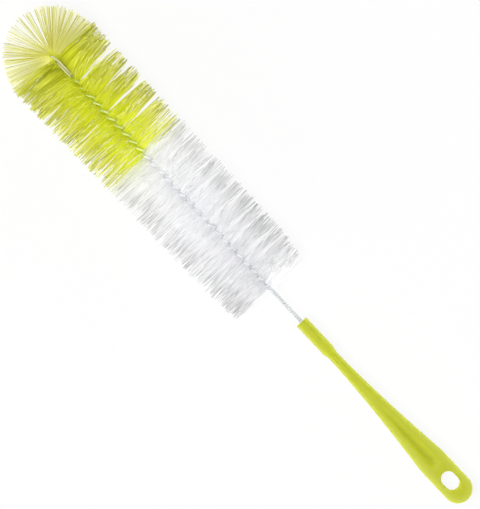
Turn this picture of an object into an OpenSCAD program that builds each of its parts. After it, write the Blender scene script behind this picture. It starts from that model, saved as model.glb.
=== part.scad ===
// Bottle brush: radial bristles pinched along a twisted pair of wires, with the tip folded back
// over itself, on a moulded handle with a hanging hole.
// Sizes are in millimetres. +X runs from the handle to the tip and +Z is up. The brush lies on
// its side, so the origin is on the surface under it, below the middle of its whole length.

/* [Head] */
// Length of the bristled stem, from its rear end to the fold at the tip
head_len = 189; // [140:1:240]
// Length of the lime bristles, measured back from the fold
lime_len = 79.6; // [50:0.1:110]
// Head diameter beside the fold
tip_d = 62.4; // [54:0.1:76]
// Head diameter at the rear, before its shoulder
rear_d = 57.8; // [48:0.1:70]
// Length of the rounded shoulder at the rear of the head
shoulder_len = 30; // [10:1:50]
// Loss of radius over that shoulder
shoulder_drop = 2.2; // [0:0.1:5]
// Length of the bristles that fan out beyond the fold
fan_reach = 29.2; // [22:0.1:36]
// How far the soft bristles are pressed flat under the widest end
flat_press = 3.2; // [1:0.1:5]

/* [Tufts] */
// Tufts in one full twist of the stem
tufts_per_turn = 28; // [20:2:32]
// Width of a tuft's tip along the stem
tuft_len = 3.5; // [1.5:0.1:5]
// Width of a tuft's tip around the head
tuft_w = 1.5; // [0.8:0.1:2.2]
// Largest lean of a tuft's tip along the stem
tuft_lean = 1.8; // [0:0.1:2.5]
// Largest lean of a tuft's tip around the head, in degrees
tuft_sway = 5; // [0:0.5:6]
// Largest shortfall of a tuft's tip from the round outline
tuft_uneven = 0.7; // [0:0.1:2]
// Tufts in the fan round the fold
fan_tufts = 25; // [15:2:31]

/* [Stem] */
// Diameter of each of the two wires
wire_d = 1.3; // [1:0.05:1.6]
// Gap between the wires where they pinch the bristles
pinch_gap = 0.5; // [0.45:0.05:0.7]
// Gap between the wires along the bare stem
bare_gap = 0.13; // [0.12:0.01:0.3]
// Length of one full twist inside the head
head_pitch = 12.5; // [10:0.5:18]
// Length of one full twist along the bare stem
bare_pitch = 8; // [6:0.5:12]
// Length of bare stem between the handle and the head
bare_len = 27.3; // [15:0.1:60]
// Depth to which the stem is set into the handle
insert_len = 34; // [20:1:42]
// Radius of the fold at the tip, along the middle of the stem
fold_r = 2.1; // [2:0.1:3.5]
// Length of stem folded back over the head
fold_len = 15; // [8:0.5:24]
// Length of one full twist of the folded end
fold_pitch = 40; // [25:1:60]
// Direction of the twist, left-handed or right-handed
twist_hand = -1; // [-1, 1]

/* [Handle] */
// Overall length of the handle
handle_len = 146.1; // [120:0.1:190]
// Diameter of the socket that takes the stem
socket_d = 8; // [7:0.1:10]
// Length of the socket at its full diameter
socket_len = 23; // [14:0.5:30]
// Length of the slope between the socket and the neck
step_len = 4.9; // [2:0.1:8]
// Diameter of the neck
neck_d = 6.2; // [5.6:0.1:7]
// Width of the paddle
paddle_w = 18; // [15:0.1:24]
// Thickness of the paddle
paddle_t = 7; // [6:0.1:9]
// Length of the paddle at its full width, its round end included
paddle_len = 32.4; // [28:0.1:45]
// Width of the hanging hole
hole_w = 9; // [6:0.1:10]
// Length of the hanging hole
hole_len = 12.4; // [10:0.1:16]
// Material between the hanging hole and the end of the handle
hole_wall = 9.4; // [6:0.1:12]
// Chamfer round the rims of the hanging hole
hole_chamfer = 0.7; // [0.3:0.1:1]
// Length of the thumb groove
groove_len = 42; // [25:1:55]
// Width of the thumb groove at its deep end
groove_w = 7.4; // [4:0.1:9]
// Depth of the thumb groove at its deep end
groove_depth = 1.1; // [0.4:0.1:1.6]
// Material between the thumb groove and the hanging hole
groove_wall = 4.6; // [3:0.1:8]

/* [Hidden] */

// Places along X
overall_len = handle_len + bare_len + head_len + fold_r + fan_reach;
handle_end_x = -overall_len / 2;
mouth_x = handle_end_x + handle_len;
rear_x = mouth_x + bare_len;
axis_h = tip_d / 2 - flat_press;

// Stem, measured along its middle line from the rear end of the head
wire_sides = 6;
wire_rings_per_turn = 8;
bend_rings = 12;
rounding = 0.001;
bend_start = head_len;
bend_end = bend_start + PI * fold_r;
stem_start = -bare_len - insert_len;
stem_end = bend_end + fold_len;
spread_len = 2;
bare_offset = (wire_d + bare_gap) / 2;
pinch_offset = (wire_d + pinch_gap) / 2;

// Ribbon of bristles between the wires. The clearance covers the chords of the twisted wires.
pinch_clear = 0.18;
ribbon_t = pinch_gap - 2 * pinch_clear;
ribbon_inset = 0.1;
ribbon_w = wire_d - ribbon_inset;
comb_gap = 0.1;
cut_margin = 1;
// Width of the tip of a tuft in the fan, and length of one stretch of the folded end
fan_tip = 1.4;
fold_stretch = 1.4;
// Lowest rise of the tufts on the folded end, and how far those of the head stay below them
fold_rise = 0.2;
fold_room = 0.35;
// Steepest rise of a tuft that passes beside the folded end
pass_rise = 0.8;
// Length over which the tufts straighten up towards a comb's ends
lean_fade = 8;
lean_seed = 7;
trim_seed = 19;
sway_seed = 31;

// Handle, measured from its mouth towards its end
stem_fit = 0.1;
bore_d = 2 * (bare_offset + wire_d / 2 + stem_fit);
bore_sides = 48;
socket_sides = 64;
socket_rim = 0.7;
rim_steps = 4;
// Length by which the socket and the grip run into each other
loft_overlap = 1;
grip_start = socket_len + step_len;
grip_len = handle_len - paddle_len - grip_start;
// How late the neck widens, and how softly it meets the paddle
grip_power = 1.55;
grip_blend = 0.07;
// Fullness of the cross-section: 2 is an ellipse
neck_fullness = 2;
paddle_fullness = 3;
arc_h = handle_len - paddle_w / 2;
hole_h = handle_len - hole_wall - hole_len / 2;
groove_end = handle_len - hole_wall - hole_len - groove_wall;
groove_start_w = 2.4;
// Share of the groove's length over which it deepens, and length of its steep end
groove_ease = 0.7;
groove_runout = 7;
loft_step = 4.6;
end_steps = 7;
end_angle = 84;
outline_step = 10;

function lerp(a, b, t) = a + (b - a) * t;
function clamp(t, low, high) = min(high, max(low, t));
function clamp01(t) = clamp(t, 0, 1);
function smooth(t) = let(c = clamp01(t)) c * c * (3 - 2 * c);

// Angle of the stem's middle line above +X: 0 along the head, 180 on the folded end
function bend_angle(q) = 180 * clamp01((q - bend_start) / (bend_end - bend_start));
function stem_along(q) = [cos(bend_angle(q)), 0, sin(bend_angle(q))];
function stem_up(q) = [-sin(bend_angle(q)), 0, cos(bend_angle(q))];
function stem_point(q) =
    let(b = bend_angle(q), straight = q < bend_end ? min(q, bend_start) : bend_start - (q - bend_end))
    [rear_x + straight + fold_r * sin(b), 0, axis_h + fold_r * (1 - cos(b))];

// Turns of the pair up to a place on the stem. Half-way round the fold the bristles point forward.
function stem_turns(q) =
    q < 0 ? q / bare_pitch
    : q < bend_end ? q / head_pitch
    : bend_end / head_pitch + (q - bend_end) / fold_pitch;
function twist_angle(q) =
    90 + 360 * twist_hand * (stem_turns(q) - stem_turns((bend_start + bend_end) / 2));

// Direction square to the stem, turned by an angle that starts at +Y
function radial(q, angle) = cos(angle) * [0, 1, 0] + sin(angle) * stem_up(q);

// Radius of the head at a place along X
function head_r(x) =
    let(
        share = clamp01((x - rear_x) / head_len),
        shoulder = clamp01(1 - (x - rear_x) / shoulder_len)
    )
    lerp(rear_d, tip_d, share) / 2 - shoulder_drop * shoulder * shoulder;

// Solid through a list of rings with the same number of points each. Seen from the last ring's
// side, each ring's points run anticlockwise.
module ring_solid(rings) {
    n = len(rings[0]);
    last = n * (len(rings) - 1);
    polyhedron(
        points = [for (ring = rings) each ring],
        faces = concat(
            [[for (i = [0 : n - 1]) i]],
            [[for (i = [n - 1 : -1 : 0]) last + i]],
            [for (r = [0 : len(rings) - 2], i = [0 : n - 1])
                let(a = r * n + i, b = r * n + (i + 1) % n) each [[a, a + n, b + n], [a, b + n, b]]]
        )
    );
}

// ---- Wires ----

function wire_offset(q) = lerp(bare_offset, pinch_offset, smooth((q + spread_len) / spread_len));

function wire_ring(q, half_turn) =
    let(centre = stem_point(q) + wire_offset(q) * radial(q, twist_angle(q) + 90 + half_turn))
    [for (i = [0 : wire_sides - 1]) centre + wire_d / 2 * radial(q, 360 * i / wire_sides)];

// Evenly spaced places on the stem, no further apart than the given step
function places(from, to, step) =
    let(n = ceil((to - from) / step - rounding)) [for (i = [0 : n]) lerp(from, to, i / n)];
function after_first(list) = [for (i = [1 : len(list) - 1]) list[i]];

wire_places = concat(
    places(stem_start, 0, bare_pitch / wire_rings_per_turn),
    after_first(places(0, bend_start, head_pitch / wire_rings_per_turn)),
    after_first(places(bend_start, bend_end, (bend_end - bend_start) / bend_rings)),
    after_first(places(bend_end, stem_end, fold_pitch / wire_rings_per_turn))
);

module wire(half_turn) {
    ring_solid([for (q = wire_places) wire_ring(q, half_turn)]);
}

module wire_strand_a() {
    color("lightsteelblue") wire(0);
}

module wire_strand_b() {
    color("silver") wire(180);
}

// ---- Bristles ----

// Corners of the ribbon at one place: its first edge's two corners, then its second edge's
function ribbon_ring(q) =
    let(
        out = ribbon_w / 2 * radial(q, twist_angle(q)),
        across = ribbon_t / 2 * radial(q, twist_angle(q) + 90),
        p = stem_point(q)
    )
    [p + out - across, p + out + across, p - out + across, p - out - across];

// Distance from a point to the head's outline at x, going out square to X
function reach_to_outline(p, direction, x) =
    let(rise = p.z - axis_h, b = rise * direction.z)
    -b + sqrt(b * b + head_r(x) * head_r(x) - rise * rise);

// A corner of a tuft's tip, stopped by the surface that the brush lies on
function tip_corner(q, angle, shift, trim, fan) =
    let(
        p = stem_point(q) + shift * stem_along(q),
        direction = radial(q, angle),
        reach = (fan ? fan_reach : reach_to_outline(p, direction, p.x)) - trim,
        drop = direction.z < 0 ? p.z / -direction.z : reach
    )
    p + min(reach, drop) * direction;

// A tuft is [edge, tip length, tip width, lean, sway, trim, fan]: edge is 0 or 1
function tuft_tip(q, tuft) =
    let(
        angle = twist_angle(q) + 180 * tuft[0] + tuft[4],
        spread = tuft[2] / 2 / fan_reach * 180 / PI,
        back = tuft[3] - tuft[1] / 2,
        front = tuft[3] + tuft[1] / 2
    )
    [
        tip_corner(q, angle - spread, back, tuft[5], tuft[6]),
        tip_corner(q, angle - spread, front, tuft[5], tuft[6]),
        tip_corner(q, angle + spread, front, tuft[5], tuft[6]),
        tip_corner(q, angle + spread, back, tuft[5], tuft[6])
    ];

function two_triangles(a, b, c, d) = [[a, b, c], [a, c, d]];

// One comb of bristles: a ribbon through all the places, with a tuft on the edge faces that have
// one. Tufts holds one entry for each stretch between two places, [] where the ribbon is plain.
module comb(at, tufts) {
    stretches = len(at) - 1;
    first_tip = 4 * len(at);
    // Number of tufts before each stretch
    before = [for (k = 0, n = 0; k < stretches; n = n + (tufts[k] == [] ? 0 : 1), k = k + 1) n];
    tips = [for (k = [0 : stretches - 1]) if (tufts[k] != [])
        each tuft_tip((at[k] + at[k + 1]) / 2, tufts[k])];
    faces = [for (k = [0 : stretches - 1]) each concat(
        two_triangles(4 * k + 1, 4 * k + 5, 4 * k + 6, 4 * k + 2),
        two_triangles(4 * k + 3, 4 * k + 7, 4 * k + 4, 4 * k),
        [for (edge = [0, 1])
            let(
                a = 4 * k + 2 * edge,
                root = [a, a + 4, a + 5, a + 1],
                tip = [for (i = [0 : 3]) first_tip + 4 * before[k] + i]
            )
            each tufts[k][0] == edge
                ? concat(
                    [for (i = [0 : 3])
                        each two_triangles(root[i], root[(i + 1) % 4], tip[(i + 1) % 4], tip[i])],
                    two_triangles(tip[0], tip[1], tip[2], tip[3]))
                : two_triangles(root[0], root[1], root[2], root[3])]
    )];
    polyhedron(
        points = concat([for (q = at) each ribbon_ring(q)], tips),
        faces = concat([[0, 1, 2, 3]], [[for (i = [3 : -1 : 0]) 4 * stretches + i]], faces)
    );
}

// Direction of the folded end's row of tufts where it passes over a place on the head
function fold_row(q) =
    let(over = min(stem_end, bend_end + bend_start - q), d = radial(over, twist_angle(over)))
    d.z > 0 ? d : -d;

// A tuft of the head goes past the folded end and keeps below its row of tufts
function clears_fold(q, direction) =
    let(row = fold_row(q), same_side = direction.y * row.y > 0)
    direction.z < (same_side ? clamp(row.z - fold_room, fold_rise, pass_rise) : pass_rise);

function head_tuft(q, edge, lean, sway, trim) =
    let(
        under_fold = q > bend_start - fold_len - tuft_len,
        direction = radial(q, twist_angle(q) + 180 * edge + sway)
    )
    under_fold && !clears_fold(q, direction) ? [] : [edge, tuft_len, tuft_w, lean, sway, trim, false];

// Along the head the tufts take the two edges in turn, and lean less towards a comb's own ends
module head_comb(at, first_edge) {
    stretches = len(at) - 1;
    lean = rands(-tuft_lean, tuft_lean, stretches, lean_seed);
    sway = rands(-tuft_sway, tuft_sway, stretches, sway_seed);
    trim = rands(0, tuft_uneven, stretches, trim_seed);
    comb(at, [for (k = [0 : stretches - 1])
        let(q = (at[k] + at[k + 1]) / 2, room = clamp01(min(q - at[0], at[stretches] - q) / lean_fade))
        head_tuft(q, (k + first_edge) % 2, lean[k] * room, sway[k] * room, trim[k])]);
}

white_places = places(0, head_len - lime_len - comb_gap, head_pitch / tufts_per_turn);
lime_places = places(head_len - lime_len, bend_start - comb_gap, head_pitch / tufts_per_turn);

module white_bristles() {
    color("whitesmoke") head_comb(white_places, 0);
}

module lime_bristles() {
    color("yellowgreen") head_comb(lime_places, (len(white_places) - 1) % 2);
}

// Round the fold every second stretch has a tuft on its outer edge
function fan_tuft(q, k, trim) =
    k % 2 == 1 ? [] : [radial(q, twist_angle(q)).x > 0 ? 0 : 1, fan_tip, fan_tip, 0, 0, trim, true];

// The folded end has its tufts on its upper edge, each as long as its own stretch
function fold_tuft(q, trim) =
    let(edge = radial(q, twist_angle(q)).z > 0 ? 0 : 1, rise = abs(radial(q, twist_angle(q)).z))
    rise > fold_rise ? [edge, fold_stretch - comb_gap, tuft_w, 0, 0, trim, false] : [];

module tip_bristles() {
    at = concat(
        places(bend_start, bend_end, (bend_end - bend_start) / (2 * fan_tufts)),
        after_first(places(bend_end, stem_end - cut_margin, fold_stretch))
    );
    trim = rands(0, tuft_uneven, len(at), trim_seed);
    color("greenyellow") comb(at, [for (k = [0 : len(at) - 2])
        let(q = (at[k] + at[k + 1]) / 2)
        q < bend_end ? fan_tuft(q, k, trim[k]) : fold_tuft(q, trim[k])]);
}

// ---- Handle ----

// Share of the way from the neck's section to the paddle's, eased into the paddle
function grip_share(h) =
    let(g = pow(max(0, (h - grip_start) / grip_len), grip_power), over = g - 1 + grip_blend)
    over < 0 ? g : over > 2 * grip_blend ? 1 : g - over * over / (4 * grip_blend);

function half_width(h) =
    h < arc_h ? lerp(neck_d, paddle_w, grip_share(h)) / 2
    : sqrt(pow(paddle_w / 2, 2) - pow(h - arc_h, 2));

// Soft-sided hollow for the thumb, wider and deeper towards the hole
function groove(h, y) =
    let(
        along = (h - groove_end + groove_len) / groove_len,
        depth = groove_depth * smooth(along / groove_ease) * smooth((groove_end - h) / groove_runout),
        half = lerp(groove_start_w, groove_w, clamp01(along)) / 2
    )
    depth * pow(cos(90 * clamp01(abs(y) / half)), 2);

// Height of the handle's surface above its middle plane
function grip_z(h, y) =
    let(
        share = grip_share(h),
        full = lerp(neck_fullness, paddle_fullness, share),
        rim = h < arc_h ? abs(y) / half_width(h) : norm([h - arc_h, y]) / (paddle_w / 2)
    )
    lerp(neck_d, paddle_t, share) / 2 * pow(clamp01(1 - pow(rim, full)), 1 / full) - groove(h, y);

function grip_ring(h) =
    let(
        ys = [for (a = [-90 : outline_step : 90]) half_width(h) * sin(a)],
        upper = [for (y = ys) [mouth_x - h, y, grip_z(h, y)]],
        last = len(ys) - 2
    )
    concat(upper, [for (i = [last : -1 : 1]) [mouth_x - h, ys[i], -upper[i].z]]);

module grip() {
    rings = concat(
        places(grip_start - loft_overlap, arc_h, loft_step),
        [for (i = [1 : end_steps]) arc_h + paddle_w / 2 * sin(end_angle * i / end_steps)]
    );
    translate([0, 0, axis_h]) ring_solid([for (h = rings) grip_ring(h)]);
}

module socket() {
    rim = [for (i = [0 : rim_steps])
        let(a = 90 * i / rim_steps)
        [socket_d / 2 - socket_rim * (1 - sin(a)), socket_rim * (1 - cos(a))]];
    end_h = grip_start + loft_overlap / 2;
    end_r = lerp(socket_d, neck_d, (end_h - socket_len) / step_len) / 2;
    profile = concat([[0, 0]], rim, [[socket_d / 2, socket_len], [end_r, end_h], [0, end_h]]);
    translate([mouth_x, 0, axis_h])
        rotate([0, -90, 0])
        rotate_extrude($fn = socket_sides)
        polygon(profile);
}

// Straight-sided slot with round ends along X, flared by a chamfer at one rim
module slot(w, length, height) {
    straight = length - w;
    for (side = [-1, 1])
        translate([side * straight / 2, 0, -height / 2])
        cylinder(h = height, d = w, $fn = bore_sides);
    translate([-straight / 2, -w / 2, -height / 2]) cube([straight, w, height]);
}

module slot_flare(w, length, chamfer) {
    straight = length - w;
    for (side = [-1, 1])
        translate([side * straight / 2, 0, -chamfer])
        cylinder(h = 2 * chamfer, r1 = w / 2, r2 = w / 2 + 2 * chamfer, $fn = bore_sides);
    translate([-straight / 2, 0, 0])
        rotate([90, 0, 90])
        linear_extrude(straight)
        polygon([
            [-w / 2, -chamfer], [w / 2, -chamfer],
            [w / 2 + 2 * chamfer, chamfer], [-w / 2 - 2 * chamfer, chamfer]
        ]);
}

module hanging_hole() {
    translate([mouth_x - hole_h, 0, axis_h]) {
        slot(hole_w, hole_len, 2 * paddle_t);
        for (flip = [0, 180])
            rotate([flip, 0, 0])
            translate([0, 0, paddle_t / 2])
            slot_flare(hole_w, hole_len, hole_chamfer);
    }
}

module stem_bore() {
    translate([mouth_x + stem_fit, 0, axis_h])
        rotate([0, -90, 0])
        cylinder(h = insert_len + 2 * stem_fit, d = bore_d, $fn = bore_sides);
}

module handle() {
    color("yellowgreen") difference() {
        union() {
            socket();
            grip();
        }
        stem_bore();
        hanging_hole();
    }
}

handle();
wire_strand_a();
wire_strand_b();
white_bristles();
lime_bristles();
tip_bristles();
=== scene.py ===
"""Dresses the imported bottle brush: moulded handle, twisted wire stem, white and lime filaments.

Lengths are in metres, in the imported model's frame: +X runs from the handle to the tip, +Z is up.
"""

from __future__ import annotations

import logging
import math
from collections.abc import Callable
from dataclasses import dataclass
from enum import Enum
from functools import partial

import bmesh
import bpy
import numpy as np
from bpy.types import Material, Mesh, Node, NodeOutputs, NodeSocket, NodeTree, Object
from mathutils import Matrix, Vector


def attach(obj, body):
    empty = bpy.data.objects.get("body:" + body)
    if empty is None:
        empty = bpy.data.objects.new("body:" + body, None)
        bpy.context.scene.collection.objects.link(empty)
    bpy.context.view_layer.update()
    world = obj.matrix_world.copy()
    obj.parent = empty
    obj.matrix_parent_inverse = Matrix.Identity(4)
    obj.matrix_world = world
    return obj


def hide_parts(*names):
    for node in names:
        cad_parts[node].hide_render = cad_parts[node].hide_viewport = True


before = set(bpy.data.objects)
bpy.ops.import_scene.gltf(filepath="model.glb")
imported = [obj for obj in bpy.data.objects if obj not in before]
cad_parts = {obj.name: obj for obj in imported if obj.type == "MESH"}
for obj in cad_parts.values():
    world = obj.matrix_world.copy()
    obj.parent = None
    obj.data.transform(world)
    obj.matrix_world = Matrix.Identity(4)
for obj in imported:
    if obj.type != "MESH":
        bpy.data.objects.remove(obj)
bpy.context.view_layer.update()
LOG = logging.getLogger("bottle_brush")

ROOT = "root"
MM = 0.001
VECTOR = {"data_type": "FLOAT_VECTOR"}
NUMBER = {"data_type": "FLOAT"}
COLOUR = {"data_type": "RGBA"}
Array = np.ndarray
Put = Callable[..., Node]
# Fields of a finish that go to an input of the shader as they are
SOCKETS = {
    "metallic": "Metallic",
    "roughness": "Roughness",
    "ior": "IOR",
    "gloss": "Specular IOR Level",
    "haze": "Sheen Weight",
    "haze_roughness": "Sheen Roughness",
    "haze_tint": "Sheen Tint",
    "glow": "Subsurface Weight",
    "glow_spread": "Subsurface Radius",
    "glow_depth": "Subsurface Scale",
}
# How many finer layers a noise adds to its own size
SOFT_DETAIL = 2.0
ROUGH_DETAIL = 3.0
# t * (1 - t) ** 2 is at most 4 / 27, so a bend times this stands out by its own length
BULGE = 27 / 4


# ---- Helpers ----


def linear(hex_colour: str) -> tuple[float, float, float, float]:
    """Turns an sRGB colour, as #RRGGBB, into linear red, green and blue with an alpha of 1."""
    rgb = [int(hex_colour[i : i + 2], 16) / 255 for i in (1, 3, 5)]
    return (*(c / 12.92 if c <= 0.04045 else ((c + 0.055) / 1.055) ** 2.4 for c in rgb), 1.0)


def add(
    tree: NodeTree, kind: str, inputs: dict[int | str, object] | None = None, **settings: object
) -> Node:
    """Adds one node to a tree, sets it up and feeds its inputs.

    Args:
        tree: Tree that gets the node.
        kind: Blender's type name of the node.
        inputs: For an input's name or number, a value, an output that feeds it, or a node that
            feeds it from its first output in use.
        settings: Properties of the node itself.

    Returns:
        The new node.
    """
    node = tree.nodes.new(kind)
    for name, value in settings.items():
        setattr(node, name, value)
    for key, value in (inputs or {}).items():
        if isinstance(value, Node):
            value = next(socket for socket in value.outputs if socket.enabled)
        if isinstance(value, NodeSocket):
            tree.links.new(value, node.inputs[key])
        else:
            node.inputs[key].default_value = value
    return node


def new_material(name: str) -> tuple[Material, Put]:
    """Makes an empty node material.

    Args:
        name: Name of the material.

    Returns:
        The material, and the function that adds nodes to it.
    """
    material = bpy.data.materials.new(name)
    material.use_nodes = True
    material.node_tree.nodes.clear()
    return material, partial(add, material.node_tree)


def end_material(
    put: Put, finish: object, mixes: list[tuple], relief: dict[str, object] | None = None
) -> None:
    """Ends a material: mixes its colours after each other and sets up the shader.

    Args:
        put: Function that adds a node.
        finish: Finish, whose colours can be mixed and whose numbers are set on the shader.
        mixes: For each mix its name, the share of its second colour, and both colours' names.
            The last mix is the colour of the piece.
        relief: Inputs of the bump, if there is one.
    """
    own = dict(vars(finish))
    own |= {key: linear(value) for key, value in own.items() if str(value).startswith("#")}
    surface = {socket: own[key] for key, socket in SOCKETS.items() if key in own}
    for name, share, first, second in mixes:
        mixed = {0: share, 6: own[first], 7: own[second]}
        own[name] = surface["Base Color"] = put("ShaderNodeMix", mixed, **COLOUR)
    if relief:
        surface["Normal"] = put("ShaderNodeBump", relief)
    put("ShaderNodeOutputMaterial", {"Surface": put("ShaderNodeBsdfPrincipled", surface)})


def new_object(name: str, data: bpy.types.ID) -> Object:
    """Makes an object of a mesh, lamp or camera and puts it in the scene."""
    bpy.context.scene.collection.objects.link(made := bpy.data.objects.new(name, data))
    return made


def evaluated_mesh(piece: Object) -> Mesh:
    """Makes a plain mesh of an object as its modifiers leave it."""
    evaluated = piece.evaluated_get(bpy.context.evaluated_depsgraph_get())
    return bpy.data.meshes.new_from_object(evaluated)


def smooth(t: Array | float) -> Array:
    """Eases from 0 to 1 as t goes from 0 to 1."""
    c = np.clip(t, 0.0, 1.0)
    return c * c * (3 - 2 * c)


def lerp(a: float, b: float, t: Array | float) -> Array:
    """Goes straight from a to b as t goes from 0 to 1."""
    return a + (b - a) * t


def places(start: float, end: float, step: float) -> Array:
    """Evenly spaced places from start to end, no further apart than step."""
    return np.linspace(start, end, math.ceil((end - start) / step) + 1)


def line_mesh(name: str, points: Array, edges: list, layers: dict[str, Array]) -> Mesh:
    """Makes a mesh of points and edges, whose points carry named numbers or vectors.

    Args:
        name: Name of the mesh.
        points: Its points, one to a row.
        edges: Pairs of points that are joined.
        layers: For each attribute's name, a number or a row of three for each point.

    Returns:
        The mesh.
    """
    mesh = bpy.data.meshes.new(name)
    mesh.from_pydata(points.tolist(), edges, [])
    for key, rows in layers.items():
        kind, field = ("FLOAT", "value") if rows.ndim == 1 else ("FLOAT_VECTOR", "vector")
        layer = mesh.attributes.new(key, kind, "POINT")
        layer.data.foreach_set(field, rows.astype(np.float32).ravel())
    return mesh


def mount(piece: Object, slot: str, *nodes: str) -> None:
    """Fixes a finished piece to the brush's one body and lets it stand for its CAD nodes.

    Args:
        piece: The finished piece.
        slot: Material slot of the record that the piece takes its finish from. Not used.
        nodes: CAD nodes that the piece replaces.
    """
    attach(piece, ROOT)
    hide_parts(*nodes)
    LOG.info("%s: %d faces, replaces %s", piece.name, len(piece.data.polygons), ", ".join(nodes))


def new_tree(name: str, kinds: dict[str, str], output: str) -> tuple[NodeTree, Put, NodeOutputs]:
    """Makes an empty Geometry Nodes tree.

    Args:
        name: Name of the tree.
        kinds: For each kind of socket, the names of the inputs of that kind, after each other.
        output: Name of the geometry that comes out.

    Returns:
        The tree, the function that adds nodes to it, and the inputs as a node gives them.
    """
    tree = bpy.data.node_groups.new(name, "GeometryNodeTree")
    for kind, keys in kinds.items():
        for key in keys.split(", "):
            tree.interface.new_socket(key, in_out="INPUT", socket_type="NodeSocket" + kind)
    tree.interface.new_socket(output, in_out="OUTPUT", socket_type="NodeSocketGeometry")
    return tree, partial(add, tree), add(tree, "NodeGroupInput").outputs


def draw_round(put: Put, given: NodeOutputs, line: Node, scale: object) -> Node:
    """Adds nodes that turn lines into round closed bars.

    Args:
        put: Function that adds a node.
        given: Inputs of the tree, of which it takes Sides and Radius.
        line: Node that gives the lines.
        scale: Thickness along a line, as a share of the radius.

    Returns:
        Node that gives the bars.
    """
    circle = {"Resolution": given["Sides"], "Radius": given["Radius"]}
    profile = put("GeometryNodeCurvePrimitiveCircle", circle, mode="RADIUS")
    bars = {"Curve": line, "Profile Curve": profile, "Scale": scale, "Fill Caps": True}
    return put("GeometryNodeCurveToMesh", bars)


def end_tree(put: Put, shape: Node, material: NodeSocket, soft: bool) -> None:
    """Ends a tree: the shape is shaded, gets its material and is made real.

    Args:
        put: Function that adds a node.
        shape: Node that gives the shape.
        material: Input that holds the material.
        soft: Whether the faces are shaded as one round surface.
    """
    shaded = put("GeometryNodeSetShadeSmooth", {"Geometry": shape, "Shade Smooth": soft})
    dressed = put("GeometryNodeSetMaterial", {"Geometry": shaded, "Material": material})
    whole = put("GeometryNodeRealizeInstances", {"Geometry": dressed})
    put("NodeGroupOutput", {0: whole})


def bake(
    name: str, line: Mesh, tree: NodeTree, values: dict[str, object], keep: tuple[str, ...]
) -> Object:
    """Runs a Geometry Nodes tree on a mesh and keeps the result as a plain mesh.

    Args:
        name: Name of the new piece.
        line: Mesh that the tree starts from.
        tree: Geometry Nodes tree.
        values: For each named input of the tree, its value.
        keep: Named attributes that the piece's material reads.

    Returns:
        The new piece, with no modifier left.
    """
    carrier = new_object(name + "_line", line)
    modifier = carrier.modifiers.new("build", "NODES")
    modifier.node_group = tree
    for item in tree.interface.items_tree:
        if item.name in values:
            modifier[item.identifier] = values[item.name]
    mesh = evaluated_mesh(carrier)
    mesh.name = name
    carrier.modifiers.remove(modifier)
    bpy.data.objects.remove(carrier)
    kept = {"sharp_face", "sharp_edge", "material_index", *keep}
    removable = {a.name for a in mesh.attributes if not (a.is_internal or a.is_required)}
    for spare in sorted(removable - kept):
        mesh.attributes.remove(mesh.attributes[spare])
    return new_object(name, mesh)


def loft(
    name: str, rings: list[list[tuple[float, ...]]], shift: tuple[float, float, float]
) -> Object:
    """Joins rings of points into a closed solid, whose faces point outwards.

    Args:
        name: Name of the new object.
        rings: Rings of equally many points, from one end of the solid to the other.
        shift: How far the solid is moved then.

    Returns:
        The new object.
    """
    bm = bmesh.new()
    loops = [[bm.verts.new(point) for point in ring] for ring in rings]
    for low, high in zip(loops, loops[1:]):
        for i in range(len(low)):
            j = (i + 1) % len(low)
            bm.faces.new((low[i], low[j], high[j], high[i]))
    bm.faces.new(list(reversed(loops[0])))
    bm.faces.new(loops[-1])
    bmesh.ops.translate(bm, verts=bm.verts, vec=shift)
    bmesh.ops.recalc_face_normals(bm, faces=bm.faces)
    mesh = bpy.data.meshes.new(name)
    bm.to_mesh(mesh)
    bm.free()
    return new_object(name, mesh)


# ---- Finishes ----


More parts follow.
